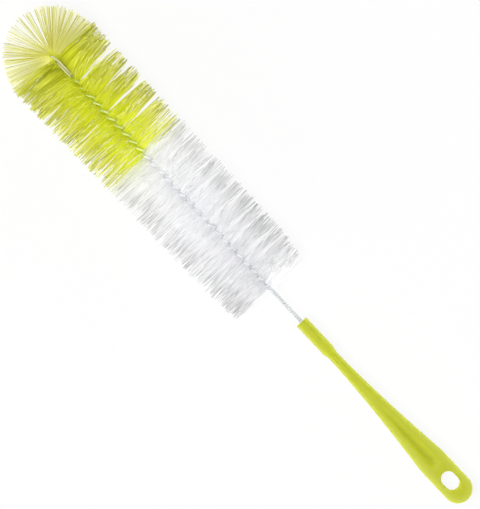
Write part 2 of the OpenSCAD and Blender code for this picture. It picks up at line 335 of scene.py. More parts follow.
@dataclass(frozen=True)
class GalvanisedWire:
    """Drawn steel wire with a thin dull zinc coat: silvery, with faint lengthwise streaks.

    Between the filaments its crowns are painted light and the dips between them painted shade,
    by height, and both carry a painted reflection of the filaments' colour. At the folded end
    the wires are painted lit on top and shaded at their sides.
    """

    bare: str = "#D4D6D7"
    dull: str = "#A8ABAD"
    # In the white part the crowns are painted near-white, a painted reflection of the white
    # filaments, and the dips below them painted shade
    wound: str = "#F6F7F9"
    white_painted_shade: str = "#B0B4BA"
    # Among the lime filaments the crowns carry a painted reflection of their lime, and the dips
    # painted shade with it
    lime_painted_reflection: str = "#ECFAB0"
    lime_painted_shade: str = "#B8C85E"
    # Folded end: a painted highlight on top of the wires, tinted with a painted reflection of the
    # lime, and painted shade at their sides
    folded: str = "#D6D4A6"
    fold_painted_shade: str = "#7C783E"
    # Heights over which painted shade turns into painted light, in the head and at the folded end
    shade_heights: tuple[float, float] = (28.3 * MM, 29.2 * MM)
    fold_shade_heights: tuple[float, float] = (32.15 * MM, 32.75 * MM)
    dull_share: float = 0.12
    metallic: float = 0.25
    roughness: float = 0.6
    # Marks of the drawing die are finer than 0.05 mm, so they are drawn coarse enough to show
    streak_width: float = 0.25 * MM
    streak_stretch: float = 0.08
    streak_relief: float = 0.02 * MM
    streak_strength: float = 0.25
    patch_size: float = 1 * MM

    def material(self) -> Material:
        """Builds the wire's material.

        Returns:
            The material, which reads the shares of the head, its lime part and the folded end.
        """
        material, put = new_material("galvanised drawn steel wire")
        place = put("ShaderNodeTexCoord").outputs["Object"]
        spots = {"Vector": place, "Scale": 1 / self.patch_size, "Detail": ROUGH_DETAIL}
        patches = put("ShaderNodeTexNoise", spots)
        patchy = put("ShaderNodeMath", {0: patches, 1: self.dull_share}, operation="MULTIPLY")
        head, lime, fold = (
            put("ShaderNodeAttribute", attribute_name=name).outputs["Fac"]
            for name in ("head", "lime", "fold")
        )
        # Low down between the filaments the wire is painted shaded, high up painted lit
        height = put("ShaderNodeSeparateXYZ", {0: place}).outputs["Z"]
        crown_light, fold_crown_light = (
            put("ShaderNodeMapRange", {0: height, 1: low, 2: high})
            for low, high in (self.shade_heights, self.fold_shade_heights)
        )
        # Bare stem in its own zinc colour; in the head painted light, shade and reflections; then
        # dull patches
        mixes = [
            ("in white", crown_light, "white_painted_shade", "wound"),
            ("crossing", crown_light, "lime_painted_shade", "lime_painted_reflection"),
            ("at fold", fold_crown_light, "fold_painted_shade", "folded"),
            ("in lime", fold, "crossing", "at fold"),
            ("in head", lime, "in white", "in lime"),
            ("zinc", head, "bare", "in head"),
            ("whole", patchy, "zinc", "dull"),
        ]
        long = (self.streak_stretch, 1.0, 1.0)
        lined = put("ShaderNodeMapping", {"Vector": place, "Scale": long})
        marks = {"Vector": lined, "Scale": 1 / self.streak_width, "Detail": SOFT_DETAIL}
        streaks = put("ShaderNodeTexNoise", marks)
        relief = {"Strength": self.streak_strength, "Distance": self.streak_relief}
        end_material(put, self, mixes, {**relief, "Height": streaks})
        return material


@dataclass(frozen=True)
class NylonFilament:
    """Extruded nylon monofilament: clear-bodied colour, paler where the light runs along it.

    A filament goes from its root colour to its tip colour: the darker tip colour is painted shade,
    and a bright root colour is painted light carried through the pack. Its own tint lies between
    deep and pale. At the wires it shows the pinched colour, a painted shade, and near the end of
    its stretch painted light and shade: a painted shadow of the folded end on lime filaments, and
    painted lime light on white ones.
    """

    name: str
    # The lime root colour is raised into painted light; the darker tip colour is painted shade
    root: str
    tip: str
    pale: str
    deep: str
    # Painted shade at the wires, over the first share of each filament's length
    pinched: str
    haze_tint: str = "#FAFF58"
    # Colour of the painted light and shade near the end of a stretch: painted lime light by default
    cast: str = "#E8F0A0"
    pinch_shade_share: float = 0.018
    tint_start: float = 0.0
    root_tint: float = 0.4
    tip_tint: float = 0.9
    roughness: float = 0.4
    haze: float = 1.0
    haze_roughness: float = 0.7
    gloss: float = 0.3
    ior: float = 1.53

    def material(self) -> Material:
        """Builds the filaments' material.

        Returns:
            The material, which reads the share along each filament, its tint and its share of the
            painted light and shade near the end of its stretch.
        """
        material, put = new_material(self.name)
        share, tint, cast = (
            put("ShaderNodeAttribute", attribute_name=name).outputs["Fac"]
            for name in ("share", "tint", "cast")
        )
        outward = put("ShaderNodeMapRange", {0: share, 1: self.tint_start})
        opened = put("ShaderNodeMapRange", {0: share, 2: self.pinch_shade_share})
        tints = {0: outward, 3: self.root_tint, 4: self.tip_tint}
        own_share = put("ShaderNodeMapRange", tints)
        # Painted light and shade along the filament, painted shade at the pinch, and painted light
        # and shade near the end of the stretch
        mixes = [
            ("along", outward, "root", "tip"),
            ("own", tint, "deep", "pale"),
            ("plain", own_share, "along", "own"),
            ("open", cast, "plain", "cast"),
            ("whole", opened, "pinched", "open"),
        ]
        end_material(put, self, mixes)
        return material


# Milky filaments are white where packed; their grey tips are painted shade where single ones show
MILKY = NylonFilament(
    name="milky nylon filament",
    root="#FCFCFE",
    tip="#A4A4A6",
    pale="#FFFFFF",
    deep="#767678",
    pinched="#F4F4F8",
    haze_tint="#FFFFFF",
    pinch_shade_share=0.01,
    tint_start=0.3,
    root_tint=0.0,
    gloss=0.5,
)
# Lime filaments: the bright root colour is painted light for the glow inside the pack, and the
# olive towards their cut tips is painted shade
LIME = NylonFilament(
    name="lime nylon filament",
    root="#FAFF28",
    tip="#CBBF1E",
    pale="#FFFFAC",
    deep="#7B7F00",
    pinched="#D4D80C",
    cast="#AAAC08",
    tint_start=0.16,
    root_tint=0.14,
    tip_tint=1.0,
    gloss=0.5,
)
# Single lime filaments of the fan over a pale table: their own lime is painted down to olive,
# painted shade of their shaded sides
FAN_SHADED_LIME = NylonFilament(
    name="olive lime nylon filament",
    root="#E8E448",
    tip="#B0AE50",
    pale="#E2E288",
    deep="#807E24",
    pinched="#D0D810",
    haze_tint="#F0EC80",
)
# The loosest ones are painted pale as straw: painted light, for the light that runs through them
FAN_LIT_LIME = NylonFilament(
    name="pale lime nylon filament",
    root="#E6E460",
    tip="#E8EAB4",
    pale="#F6F8CC",
    deep="#CCC870",
    pinched="#D0D810",
    haze_tint="#F4F098",
)


@dataclass(frozen=True)
class MouldedPolypropylene:
    """Injection-moulded lime polypropylene: an even satin gloss with slow ripples of shrinkage.

    It lets some light in, and its thin rims are painted a little paler: partly that glow, partly
    painted light from the sides.
    """

    base: str = "#AFB504"
    pale: str = "#B7BD08"
    # Painted rim light: the paler colour that the rims are painted
    rim: str = "#BAC03E"
    haze_tint: str = "#F8F880"
    haze: float = 0.7
    haze_roughness: float = 0.25
    roughness: float = 0.55
    gloss: float = 0.4
    ior: float = 1.49
    glow: float = 0.3
    glow_depth: float = 2 * MM
    glow_spread: tuple[float, float, float] = (1.0, 1.0, 0.3)
    flow_size: float = 9 * MM
    # The mould's grain is about 0.1 mm, so it is drawn coarse enough to show
    grain_size: float = 0.7 * MM
    grain_relief: float = 0.03 * MM
    grain_strength: float = 0.12

    def material(self) -> Material:
        """Builds the handle's material.

        Returns:
            The material, which reads how far out towards the rim a point lies, for the painted rim
            light.
        """
        material, put = new_material("moulded lime polypropylene")
        place = put("ShaderNodeTexCoord").outputs["Object"]
        flow, grain = (
            put("ShaderNodeTexNoise", {"Vector": place, "Scale": 1 / size, "Detail": detail})
            for size, detail in ((self.flow_size, SOFT_DETAIL), (self.grain_size, ROUGH_DETAIL))
        )
        # Painted rim light towards the rims, partly the glow of the thin plastic
        thin = put("ShaderNodeAttribute", attribute_name="thin").outputs["Fac"]
        mixes = [("flowed", flow, "base", "pale"), ("whole", thin, "flowed", "rim")]
        relief = {"Strength": self.grain_strength, "Distance": self.grain_relief}
        end_material(put, self, mixes, {**relief, "Height": grain})
        return material


# ---- Stem ----


class Hand(Enum):
    """Direction in which the two wires are twisted."""

    LEFT = -1
    RIGHT = 1


@dataclass(frozen=True)
class StemLine:
    """Middle line of the twisted pair, with the law of its twist.

    Places on it are lengths from the rear end of the head: negative along the bare stem, and
    past the head's length round the fold and back over the head.
    """

    rear_x: float = -23.45 * MM
    height: float = 28 * MM
    insert_length: float = 34 * MM
    bare_length: float = 27.3 * MM
    head_length: float = 189 * MM
    lime_length: float = 79.6 * MM
    fold_radius: float = 2.1 * MM
    fold_length: float = 15 * MM
    bare_pitch: float = 3.4 * MM
    head_pitch: float = 12.5 * MM
    fold_pitch: float = 80 * MM
    settle_turn: float = 0.136
    settle_length: float = 4 * MM
    hand: Hand = Hand.LEFT

    @property
    def start(self) -> float:
        """Place of the stem's hidden end inside the handle."""
        return -self.bare_length - self.insert_length

    @property
    def colour_change(self) -> float:
        """Place where the lime filaments begin."""
        return self.head_length - self.lime_length

    @property
    def bend_end(self) -> float:
        """Place where the fold ends and the folded end begins."""
        return self.head_length + math.pi * self.fold_radius

    @property
    def end(self) -> float:
        """Place of the cut end."""
        return self.bend_end + self.fold_length

    def in_fold(self, q: Array) -> Array:
        """Whether places q lie in the fold."""
        return (q > self.head_length) & (q < self.bend_end)

    def bend(self, q: Array) -> Array:
        """Angle of the line above +X, in radians, at places q."""
        return math.pi * np.clip((q - self.head_length) / (self.bend_end - self.head_length), 0, 1)

    def point(self, q: Array) -> Array:
        """Finds the line's points.

        Args:
            q: Places on the stem.

        Returns:
            Points, one to a row.
        """
        b = self.bend(q)
        back = self.head_length - (q - self.bend_end)
        straight = np.where(q < self.bend_end, np.minimum(q, self.head_length), back)
        x = self.rear_x + straight + self.fold_radius * np.sin(b)
        z = self.height + self.fold_radius * (1 - np.cos(b))
        return np.stack([x, np.zeros_like(q), z], axis=1)

    def along(self, q: Array) -> Array:
        """Directions of the line at places q, one to a row."""
        b = self.bend(q)
        return np.stack([np.cos(b), np.zeros_like(q), np.sin(b)], axis=1)

    def turns(self, q: Array) -> Array:
        """Counts how often the pair has turned, tightly when bare and slowly after the fold.

        Args:
            q: Places on the stem.

        Returns:
            Turns from the head's rear end up to each place.
        """
        beyond = q - self.bend_end
        settled = self.settle_turn * smooth(beyond / self.settle_length)
        past = self.bend_end / self.head_pitch + beyond / self.fold_pitch + settled
        head = np.where(q < self.bend_end, q / self.head_pitch, past)
        return np.where(q < 0, q / self.bare_pitch, head)

    def twist(self, q: Array) -> Array:
        """Angle from +Y, in radians, at which places q pinch; mid-fold it points ahead."""
        middle = np.array([(self.head_length + self.bend_end) / 2])
        return math.pi / 2 + 2 * math.pi * self.hand.value * (self.turns(q) - self.turns(middle))

    def mesh(self, name: str, step: float, rules: dict[str, Callable]) -> Mesh:
        """Builds the whole line, with named vectors on its points.

        Args:
            name: Name of the mesh.
            step: Distance between points.
            rules: For each attribute name, a function from places to rows of three numbers.

        Returns:
            A mesh of edges that also carries each point's direction as "along".
        """
        q = places(self.start, self.end, step)
        edges = [(i, i + 1) for i in range(len(q) - 1)]
        layers = {key: rule(q) for key, rule in {"along": self.along, **rules}.items()}
        return line_mesh(name, self.point(q), edges, layers)


@dataclass
class WirePair:
    """Two steel wires wound round each other over the whole stem.

    The gaps are what lies between the two wires: nearly nothing, or the pinched filaments.
    """

    stem: StemLine
    diameter: float = 1.3 * MM
    bare_gap: float = 0.03 * MM
    pinch_gap: float = 0.25 * MM
    lime_gap: float = 0.85 * MM
    fold_gap: float = 0.2 * MM
    spread_length: float = 2 * MM
    ring_step: float = 0.2 * MM
    sides: int = 14
    cut_angle: float = math.radians(32)
    cut_lean: tuple[float, float, float] = (0.0, 0.4, 0.9)
    finish: GalvanisedWire = GalvanisedWire()

    def law(self, q: Array) -> Array:
        """Finds where a wire runs.

        Args:
            q: Places on the stem.

        Returns:
            Rows of twist angle, distance from the middle line and place itself.
        """
        spread = self.spread_length
        share = smooth(q / spread) - smooth((q - self.stem.bend_end) / spread)
        lime = smooth((q - self.stem.colour_change) / spread + 0.5)
        gap = lerp(self.bare_gap, lerp(self.pinch_gap, self.lime_gap, lime), share)
        gap = np.where(q > self.stem.bend_end, np.maximum(gap, self.fold_gap), gap)
        return np.stack([self.stem.twist(q), (self.diameter + gap) / 2, q], axis=1)

    def zone(self, q: Array) -> Array:
        """Shares of the head, of its lime part and of the folded end at places q, in rows."""
        starts = (2 * self.spread_length, self.stem.colour_change, self.stem.head_length)
        return np.stack([smooth((q - s) / self.spread_length + 0.5) for s in starts], axis=1)

    def tree(self) -> NodeTree:
        """Builds the tree that winds one wire round the line and cuts its end on the slant.

        Returns:
            The tree.
        """
        kinds = {
            "Geometry": "Line",
            "Float": "Half Turn, Radius, Cut Place, Cut Slope",
            "Int": "Sides",
            "Material": "Material",
        }
        tree, put, given = new_tree("wound wire", kinds, "Wire")
        law, along, zone, centre = (
            put("GeometryNodeInputNamedAttribute", {"Name": name}, **VECTOR)
            for name in ("law", "along", "zone", "centre")
        )
        twist, distance, place = put("ShaderNodeSeparateXYZ", {0: law}).outputs
        angle = put("ShaderNodeMath", {0: twist, 1: given["Half Turn"]}, operation="ADD")
        turned = {"Vector": (0.0, 1.0, 0.0), "Axis": along, "Angle": angle}
        out = put("ShaderNodeVectorRotate", turned, rotation_type="AXIS_ANGLE")
        offset = put("ShaderNodeVectorMath", {0: out, "Scale": distance}, operation="SCALE")
        line = put("GeometryNodeMeshToCurve", {"Mesh": given["Line"]})
        shares = put("ShaderNodeSeparateXYZ", {0: zone}).outputs
        for name, share in zip(("head", "lime", "fold"), shares):
            stored = {"Geometry": line, "Name": name, "Value": share}
            line = put("GeometryNodeStoreNamedAttribute", stored, **NUMBER)
        wound = put("GeometryNodeSetPosition", {"Geometry": line, "Offset": offset})
        spot = put("GeometryNodeInputPosition")
        stored = {"Geometry": wound, "Name": "centre", "Value": spot}
        centred = put("GeometryNodeStoreNamedAttribute", stored, **VECTOR)
        tube = draw_round(put, given, centred, 1.0)

        # The last ring leans over, so the cut slants: its side towards cut_lean reaches furthest
        at_cut = put("ShaderNodeMath", {0: place, 1: given["Cut Place"]}, operation="GREATER_THAN")
        spoke = put("ShaderNodeVectorMath", {0: spot, 1: centre}, operation="SUBTRACT")
        across = put("ShaderNodeVectorMath", {0: spoke, 1: self.cut_lean}, operation="DOT_PRODUCT")
        behind = put("ShaderNodeMath", {0: across, 1: given["Radius"]}, operation="SUBTRACT")
        slant = put("ShaderNodeMath", {0: behind, 1: given["Cut Slope"]}, operation="MULTIPLY")
        step_back = put("ShaderNodeVectorMath", {0: along, "Scale": slant}, operation="SCALE")
        cut = {"Geometry": tube, "Selection": at_cut, "Offset": step_back}
        end_tree(put, put("GeometryNodeSetPosition", cut), given["Material"], soft=True)
        return tree

    def build(self) -> None:
        """Builds both wires and fixes them in place of their CAD nodes."""
        tree = self.tree()
        values = {
            "Radius": self.diameter / 2,
            "Cut Place": self.stem.end - self.ring_step / 2,
            "Cut Slope": math.tan(self.cut_angle),
            "Sides": self.sides,
            "Material": self.finish.material(),
        }
        rules = {"law": self.law, "zone": self.zone}
        for node, half_turn in (("wire_strand_a", 0.5 * math.pi), ("wire_strand_b", 1.5 * math.pi)):
            line = self.stem.mesh(node + "_line", self.ring_step, rules)
            values["Half Turn"] = half_turn
            wire = bake("drawn_" + node, line, tree, values, keep=("head", "lime", "fold"))
            mount(wire, "galvanised_wire", node)


# ---- Filaments ----


@dataclass(frozen=True)
class Clumps:
    """Gaps between the clumps on one side of the head, which widen towards the tips."""

    gaps_mm: tuple[float, ...]
    squeeze: float

    def lean(self, q: Array) -> Array:
        """Finds how far tips are drawn together.

        Args:
            q: Places on the stem.

        Returns:
            Shifts along the stem, towards the middle of each filament's clump.
        """
        edges = np.array(self.gaps_mm) * MM
        k = np.clip(np.searchsorted(edges, q, side="right"), 1, len(edges) - 1)
        return self.squeeze * ((edges[k - 1] + edges[k]) / 2 - q)


@dataclass
class FilamentZone:
    """One colour of filaments along a stretch of the stem, laid out half by half.

    Squeeze draws the tips of a small tuft together, clumping those of a large clump, and waist
    draws a clump's filaments together on the way. A crowding above 1 gathers them towards the
    start, and one below 1 towards the end. Painted light and shade from the finish comes in over
    the last cast_length, up to the share given for it: a painted shadow of the folded end on
    lime, painted lime light on white.
    """

    piece: str
    start: float
    end: float
    per_mm: float
    finish: NylonFilament
    seed: int
    node: str = "tip_bristles"
    slot: str = "lime_filament"
    sway: float = math.pi
    squeeze: float = 0.24
    stray: float = 0.7 * MM
    curl: float = 1.5 * MM
    trim: float = 1.0 * MM
    thickness: float = 1.0
    parted_share: float = 1.0
    crowding: float = 1.0
    clumping: float = 1.0
    waist: float = 0.0
    bunches: int = 1
    bunching: float = 0.0
    cast: float = 0.0
    cast_length: float = 10 * MM
    under: bool = False


@dataclass
class BrushHead:
    """All filaments of the head, pinched half-way along between the two wires.

    The far side is the one towards -Y, and the near side the one towards +Y.
    """

    stem: StemLine
    tip_radius: float = 31.2 * MM
    rear_radius: float = 28.9 * MM
    shoulder_length: float = 30 * MM
    shoulder_drop: float = 2.2 * MM
    fan_reach: float = 29.7 * MM
    fan_level: float = 0.87
    fan_rise_loss: float = 1.8 * MM
    # A real filament is about 0.25 mm thick, too fine to show, so fewer and thicker ones are drawn
    filament_radius: float = 0.26 * MM
    taper: float = 0.9
    rings: int = 6
    sides: int = 3
    exit_length: float = 1.4 * MM
    exit_share: float = 0.04
    sweep: float = 0.02
    side_blend: float = 0.6
    parting: float = 0.9
    top_parting: float = 0.1
    parting_length: float = 18 * MM
    fold_parting: float = 0.6
    crossed: tuple[float, float] = (156 * MM, 178 * MM)
    far_flare: float = 2 * MM
    near_flare: float = 8 * MM
    flare_fade: float = 3.5 * MM
    flare_power: int = 2
    far_gather: float = 5 * MM
    near_gather: float = 1.5 * MM
    gather_fade: float = 9 * MM
    rear_strays: float = 1.7
    stray_power: int = 8
    tuft_step: float = 2.7 * MM
    tuft_angle: float = math.radians(24)
    tuft_tints: int = 211
    tuft_hash: tuple[int, int] = (97, 31)
    tuft_tint_share: float = 0.1
    clump_spread: tuple[float, float] = (0.6, 1.2)
    # Share of the painted light and shade near a stretch's end that the far side gets
    far_cast_share: float = 0.45
    colour_overlap: float = 2 * MM
    bare_end: float = 1 * MM
    far_side: Clumps = Clumps(
        gaps_mm=(-9, 2.5, 9.5, 18, 25, 36.5, 43, 54.5, 61, 72, 80.5, 92, 98.5)
        + (109.4, 117, 130.6, 144.2, 155.6, 169.5, 192),
        squeeze=0.3,
    )
    near_side: Clumps = Clumps(gaps_mm=tuple(6.4 * k for k in range(-1, 32)), squeeze=0.1)

    def outline(self, q: Array) -> Array:
        """Finds the radius of the head's round outline over the straight stem.

        Args:
            q: Places on the stem.

        Returns:
            Radii, which shrink over the rounded shoulder at the rear.
        """
        x = self.stem.point(q)[:, 0] - self.stem.rear_x
        shoulder = np.clip(1 - x / self.shoulder_length, 0, 1)
        full = lerp(self.rear_radius, self.tip_radius, np.clip(x / self.stem.head_length, 0, 1))
        return full - self.shoulder_drop * shoulder**2

    def course(self, q: Array, angle: Array) -> Array:
        """Finds the directions in which filaments leave the pinch.

        Args:
            q: Places on the stem.
            angle: Angles round the stem there, from +Y.

        Returns:
            Unit vectors, one to a row, which part to both sides round the folded end.
        """
        along = self.stem.along(q)
        upward = np.stack([-along[:, 2], np.zeros_like(q), along[:, 0]], axis=1)
        course = np.sin(angle)[:, None] * upward
        course[:, 1] = np.cos(angle)
        under = smooth((q - self.stem.head_length) / self.parting_length + 1)
        parting = lerp(self.top_parting, self.parting, under)
        parting = np.where(q < self.stem.head_length, parting, 0)
        in_fold = self.stem.in_fold(q)
        aside = parting * np.maximum(course[:, 2], 0)
        aside += self.fold_parting * in_fold * np.maximum(-course[:, 0], 0)
        course[:, 1] += aside * np.sign(course[:, 1])
        course[in_fold, 0] = np.abs(course[in_fold, 0])
        return course / np.linalg.norm(course, axis=1)[:, None]

    def reach(self, q: Array, course: Array) -> Array:
        """Finds how far filaments go before they meet the head's outline.

        Args:
            q: Places on the stem.
            course: Directions in which the filaments leave.

        Returns:
            Lengths, which are the fan's own in the fold.
        """
        in_fold = self.stem.in_fold(q)
        above = np.where(in_fold, 0, self.stem.point(q)[:, 2] - self.stem.height)
        towards = above * course[:, 2]
        level = np.maximum(np.hypot(course[:, 0], course[:, 1]), self.fan_level)
        fan = (self.fan_reach - self.fan_rise_loss * course[:, 2]) / level
        radius = np.where(in_fold, fan, self.outline(q))
        return np.sqrt(radius**2 + towards**2 - above**2) - towards

    def layout(self, zone: FilamentZone) -> dict[str, Array]:
        """Lays out a zone's filaments, each as two halves that leave the pinch opposite ways.

        Args:
            zone: Stretch of filaments.

        Returns:
            For each half its root, its way out between the wires, its straight span from
            there, how far it bulges aside on the way, its own tint, and its share of the painted
            light and shade near the end of the stretch.
        """
        rng = np.random.default_rng(zone.seed)
        count = round((zone.end - zone.start) / MM * zone.per_mm)
        own_place = ((np.arange(count) + rng.random(count)) / count) ** zone.crowding
        bunch_middle = (np.floor(own_place * zone.bunches) + 0.5) / zone.bunches
        own_place = lerp(own_place, bunch_middle, zone.bunching)
        q = np.repeat(lerp(zone.start, zone.end, own_place), 2)
        halves = 2 * count
        pinch = self.stem.twist(q) + math.pi * (np.arange(halves) % 2)
        angle = pinch + zone.sway * (rng.random(halves) - 0.5)
        way_out = self.course(q, pinch)
        course = self.course(q, angle)

        # Small tufts: neighbours along the stem and round it draw together at the tips
        slot = np.floor(q / self.tuft_step).astype(int)
        phase = rng.random(slot.max() - slot.min() + 1)[slot - slot.min()]
        sector = np.floor(angle / self.tuft_angle + phase)
        round_shift = ((sector + 0.5 - phase) * self.tuft_angle - angle) * zone.squeeze
        stem_shift = ((slot + 0.5) * self.tuft_step - q) * zone.squeeze
        drawn = self.course(q, angle + round_shift)

        # Over the stem few cross to the other side, so the wires show between them. Where the
        # folded end is cut off all may cross, and partly hide the wires
        crosses = (course[:, 2] > 0) & (course[:, 1] * way_out[:, 1] < 0)
        covered = (q > self.crossed[0]) & (q < self.crossed[1])
        crosses &= rng.random(halves) < np.where(covered, 0, zone.parted_share)
        side = np.where(crosses, -1, 1) * np.sign(course[:, 1])
        drawn[:, 1] = np.abs(drawn[:, 1]) * side
        if zone.under:
            for vectors in (way_out, drawn):
                vectors[:, 2] = -np.abs(vectors[:, 2])
        length = self.reach(q, drawn) - zone.trim * rng.random(halves)
        tuft = (slot * self.tuft_hash[0] + sector.astype(int) * self.tuft_hash[1]) % self.tuft_tints
        tuft_tint = rng.random(self.tuft_tints)[tuft]

        # Along the stem: clumps, the sweep of the whole head, strays, a flare ahead at the tip,
        # and a gathering ahead at the rear that a few filaments miss
        straight = q < self.stem.head_length
        near = smooth(drawn[:, 1] / self.side_blend + 0.5)
        clump = lerp(self.far_side.lean(q), self.near_side.lean(q), near)
        clump *= lerp(*self.clump_spread, rng.random(halves))
        drawn_in = np.where(straight, clump * zone.waist, 0)
        clump *= zone.clumping
        swept = -self.sweep * drawn[:, 1] * length
        stray = zone.stray * (2 * rng.random(halves) - 1)
        own = rng.random(halves)
        flare = lerp(self.far_flare, self.near_flare, near)
        flare *= np.exp((q - self.stem.head_length) / self.flare_fade)
        flare *= own**self.flare_power
        gather = lerp(self.far_gather, self.near_gather, near) * np.exp(-q / self.gather_fade)
        ahead = flare + gather * (1 - self.rear_strays * own**self.stray_power)
        gathered = np.where(straight, swept + clump, 0)
        shift = gathered + stray + np.where(straight, ahead, 0) + stem_shift
        along = self.stem.along(q)
        return {
            "root": self.stem.point(q),
            "exit": way_out * self.exit_length,
            "span": drawn * length[:, None] + along * shift[:, None],
            "bend": zone.curl * (2 * rng.random((halves, 3)) - 1) + along * drawn_in[:, None],
            "tint": smooth(lerp(rng.random(halves), tuft_tint, self.tuft_tint_share)),
            # Painted light and shade near the end of the stretch, weaker on the far side
            "cast": zone.cast
            * smooth((q - zone.end) / zone.cast_length + 1)
            * lerp(self.far_cast_share, 1, near),
        }

    def tree(self) -> NodeTree:
        """Builds the tree that draws one filament at each point, from its root to its tip.

        Returns:
            The tree.
        """
        kinds = {
            "Geometry": "Roots",
            "Int": "Rings, Sides",
            "Float": "Radius, Taper, Exit Share",
            "Material": "Material",
        }
        tree, put, given = new_tree("pinched filaments", kinds, "Filaments")
        plain = put("GeometryNodeCurvePrimitiveLine", {"End": (1.0, 0.0, 0.0)})
        stick = put("GeometryNodeResampleCurve", {"Curve": plain, "Count": given["Rings"]})
        roots = put("GeometryNodeMeshToPoints", {"Mesh": given["Roots"]})
        sticks = put("GeometryNodeInstanceOnPoints", {"Points": roots, "Instance": stick})
        lines = put("GeometryNodeRealizeInstances", {"Geometry": sticks})

        # Each point of a line goes out between the wires and along the span, and bulges on the way
        even = put("GeometryNodeSplineParameter")
        share = put("ShaderNodeMath", {0: even, 1: 2.0}, operation="POWER")
        out = put("ShaderNodeMapRange", {0: share, 2: given["Exit Share"]})
        left = put("ShaderNodeMath", {0: 1.0, 1: share}, operation="SUBTRACT")
        squared = put("ShaderNodeMath", {0: left, 1: 2.0}, operation="POWER")
        bulge = put("ShaderNodeMath", {0: squared, 1: BULGE}, operation="MULTIPLY")
        part: dict[str, Node] = {
            name: put("GeometryNodeInputNamedAttribute", {"Name": name}, **VECTOR)
            for name in ("root", "exit", "span", "bend")
        }
        for name, first, second, by in (
            ("start", "root", "exit", out),
            ("slope", "span", "bend", bulge),
            ("free", "start", "slope", share),
        ):
            scaled = put("ShaderNodeVectorMath", {0: part[second], "Scale": by}, operation="SCALE")
            part[name] = put("ShaderNodeVectorMath", {0: part[first], 1: scaled}, operation="ADD")

        # Where a filament meets the surface under the brush it bends over and lies on it
        lowest = put("ShaderNodeCombineXYZ", {0: -1.0, 1: -1.0, 2: given["Radius"]})
        rested = put("ShaderNodeVectorMath", {0: part["free"], 1: lowest}, operation="MAXIMUM")
        bristles = put("GeometryNodeSetPosition", {"Geometry": lines, "Position": rested})
        stored = {"Geometry": bristles, "Name": "share", "Value": share}
        bristles = put("GeometryNodeStoreNamedAttribute", stored, **NUMBER)
        taper = put("ShaderNodeMapRange", {0: share, 3: 1.0, 4: given["Taper"]})
        tubes = draw_round(put, given, bristles, taper)
        # Flat faces catch the light one by one, as drawn filaments glint
        end_tree(put, tubes, given["Material"], soft=False)
        return tree

    def zones(self) -> list[FilamentZone]:
        """Lists the stretches of filaments, from the handle to the cut end.

        Returns:
            The zones. The fan is two of them, in the same stretch.
        """
        fold = {"start": self.stem.head_length, "end": self.stem.bend_end}
        fan = {**fold, "curl": 0.2 * MM, "squeeze": 0.0}
        return [
            FilamentZone(
                piece="white_filaments", node="white_bristles", slot="white_filament",
                start=0.0, end=self.stem.colour_change + self.colour_overlap,
                per_mm=9.5, thickness=0.83, finish=MILKY, seed=21,
                squeeze=0.18, curl=0.8 * MM, parted_share=0.8, clumping=0.4, waist=1.0,
                crowding=1.25, cast=0.5,
            ),
            FilamentZone(
                piece="lime_filaments", node="lime_bristles",
                start=self.stem.colour_change, end=self.stem.head_length,
                per_mm=10, thickness=1.1, finish=LIME, seed=32,
                squeeze=0.2, curl=1.0 * MM, stray=0.4 * MM, trim=1.4 * MM,
                crowding=0.78, cast=0.95, cast_length=21 * MM,
            ),
            FilamentZone(
                piece="fan_filaments", per_mm=7.5, thickness=0.8, finish=FAN_SHADED_LIME, seed=23,
                sway=math.radians(2), bunches=30, bunching=0.3, trim=2.6 * MM, **fan,
            ),
            FilamentZone(
                piece="loose_fan_filaments", per_mm=28, thickness=0.6, finish=FAN_LIT_LIME, seed=25,
                sway=math.radians(12), bunches=17, bunching=0.1, trim=3.0 * MM, **fan,
            ),
            FilamentZone(
                piece="folded_end_filaments",
                start=self.stem.bend_end, end=self.stem.end - self.bare_end,
                per_mm=4, finish=LIME, seed=24, sway=math.radians(60), under=True,
            ),
        ]

    def build(self) -> None:
        """Draws each stretch of filaments and fixes it in place of its CAD node."""
        tree = self.tree()
        for zone in self.zones():
            layout = self.layout(zone)
            line = line_mesh(zone.piece + "_roots", layout["root"], [], layout)
            values = {
                "Rings": self.rings,
                "Sides": self.sides,
                "Radius": self.filament_radius * zone.thickness,
                "Taper": self.taper,
                "Exit Share": self.exit_share,
                "Material": zone.finish.material(),
            }
            piece = bake(zone.piece, line, tree, values, keep=("share", "tint", "cast"))
            mount(piece, zone.slot, zone.node)


# ---- Handle ----


